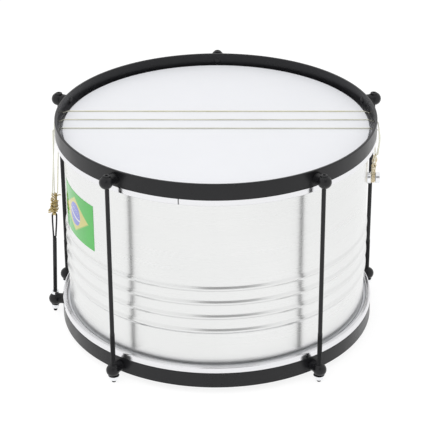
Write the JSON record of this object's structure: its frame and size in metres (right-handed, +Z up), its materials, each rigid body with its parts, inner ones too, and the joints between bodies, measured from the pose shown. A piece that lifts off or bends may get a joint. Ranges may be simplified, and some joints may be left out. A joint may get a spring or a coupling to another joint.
{
  "type": "samba snare drum",
  "caption": "Shallow round snare drum: an aluminium shell with two heads, steel hoops drawn together by rods with ball lugs, and snare strings over the upper head.",
  "frame": {"origin": "on the floor, under the middle of the drum's outline, lugs included; the shell's own axis stands at x = 3.0 mm, y = -9.1 mm", "axes": "+Z up along the shell's axis, -Y towards the player, -X towards the snare rod, +X towards the snare post"},
  "size_m": [0.3506, 0.3442, 0.2302],
  "materials": {
    "aluminium_shell": "bright rolled sheet with a soft sheen",
    "flesh_hoop_aluminium": "satin drawn aluminium",
    "black_paint": "satin black powder coat",
    "chrome": "bright plated",
    "brass_string": "pale brass winding, slightly dulled",
    "head_film": "milky white film, smooth and barely shiny",
    "vinyl": "printed vinyl with a gloss face"
  },
  "bodies": {
    "root": {"shell": "aluminium_shell", "top_head": "head_film", "bottom_head": "head_film", "top_flesh_hoop": "flesh_hoop_aluminium", "bottom_flesh_hoop": "flesh_hoop_aluminium", "top_hoop": "black_paint", "bottom_hoop": "black_paint", "snare_lug": "black_paint", "snare_washer": "chrome", "snare_post": "chrome", "post_washer": "chrome", "post_nut": "chrome", "right_string_knot": "brass_string", "snare_string_1": "brass_string", "snare_string_2": "brass_string", "snare_string_3": "brass_string", "flag_sticker": "vinyl", "top_lug_1": "black_paint", "bottom_lug_1": "black_paint", "tension_rod_1": "black_paint", "top_lug_2": "black_paint", "bottom_lug_2": "black_paint", "tension_rod_2": "black_paint", "top_lug_3": "black_paint", "bottom_lug_3": "black_paint", "tension_rod_3": "black_paint", "top_lug_4": "black_paint", "bottom_lug_4": "black_paint", "tension_rod_4": "black_paint", "top_lug_5": "black_paint", "bottom_lug_5": "black_paint", "tension_rod_5": "black_paint"},
    "washer_1": {"tension_washer_1": "chrome"},
    "nut_1": {"tension_nut_1": "chrome"},
    "washer_2": {"tension_washer_2": "chrome"},
    "nut_2": {"tension_nut_2": "chrome"},
    "washer_3": {"tension_washer_3": "chrome"},
    "nut_3": {"tension_nut_3": "chrome"},
    "washer_4": {"tension_washer_4": "chrome"},
    "nut_4": {"tension_nut_4": "chrome"},
    "washer_5": {"tension_washer_5": "chrome"},
    "nut_5": {"tension_nut_5": "chrome"},
    "snare_rod": {"snare_rod": "black_paint", "snare_lock_nut": "chrome", "left_string_knot": "brass_string"},
    "snare_nut": {"snare_nut": "chrome"}
  },
  "joints": [
    {"name": "tension_nut_1_drop", "type": "slide", "parent": "root", "child": "washer_1", "axis": [0, 0, -1], "range_m": [0, 0.0024]},
    {"name": "tension_nut_1_turn", "type": "hinge", "parent": "washer_1", "child": "nut_1", "pos_m": [0.00299, 0.16437, 0.0043], "axis": [0, 0, -1], "range_deg": [0, 1081]},
    {"name": "tension_nut_2_drop", "type": "slide", "parent": "root", "child": "washer_2", "axis": [0, 0, -1], "range_m": [0, 0.0024]},
    {"name": "tension_nut_2_turn", "type": "hinge", "parent": "washer_2", "child": "nut_2", "pos_m": [-0.16115, 0.04707, 0.0043], "axis": [0, 0, -1], "range_deg": [0, 1081]},
    {"name": "tension_nut_3_drop", "type": "slide", "parent": "root", "child": "washer_3", "axis": [0, 0, -1], "range_m": [0, 0.0024]},
    {"name": "tension_nut_3_turn", "type": "hinge", "parent": "washer_3", "child": "nut_3", "pos_m": [-0.09874, -0.14967, 0.0043], "axis": [0, 0, -1], "range_deg": [0, 1081]},
    {"name": "tension_nut_4_drop", "type": "slide", "parent": "root", "child": "washer_4", "axis": [0, 0, -1], "range_m": [0, 0.0024]},
    {"name": "tension_nut_4_turn", "type": "hinge", "parent": "washer_4", "child": "nut_4", "pos_m": [0.10619, -0.14859, 0.0043], "axis": [0, 0, -1], "range_deg": [0, 1081]},
    {"name": "tension_nut_5_drop", "type": "slide", "parent": "root", "child": "washer_5", "axis": [0, 0, -1], "range_m": [0, 0.0024]},
    {"name": "tension_nut_5_turn", "type": "hinge", "parent": "washer_5", "child": "nut_5", "pos_m": [0.16674, 0.04822, 0.0043], "axis": [0, 0, -1], "range_deg": [0, 1081]},
    {"name": "snare_rod_slide", "type": "slide", "parent": "root", "child": "snare_rod", "axis": [0.0364, 0, 0.9993], "range_m": [0, 0.0035], "deforming": ["snare_string_1", "snare_string_2", "snare_string_3"]},
    {"name": "snare_nut_turn", "type": "hinge", "parent": "root", "child": "snare_nut", "pos_m": [-0.16941, -0.00912, 0.0148], "axis": [-0.0364, 0, -0.9993], "range_deg": [0, 1801]}
  ],
  "couplings": [
    {"joint": "tension_nut_1_turn", "follows": "tension_nut_1_drop", "rad_per_m": 7854},
    {"joint": "tension_nut_2_turn", "follows": "tension_nut_2_drop", "rad_per_m": 7854},
    {"joint": "tension_nut_3_turn", "follows": "tension_nut_3_drop", "rad_per_m": 7854},
    {"joint": "tension_nut_4_turn", "follows": "tension_nut_4_drop", "rad_per_m": 7854},
    {"joint": "tension_nut_5_turn", "follows": "tension_nut_5_drop", "rad_per_m": 7854},
    {"joint": "snare_nut_turn", "follows": "snare_rod_slide", "rad_per_m": 8976}
  ]
}
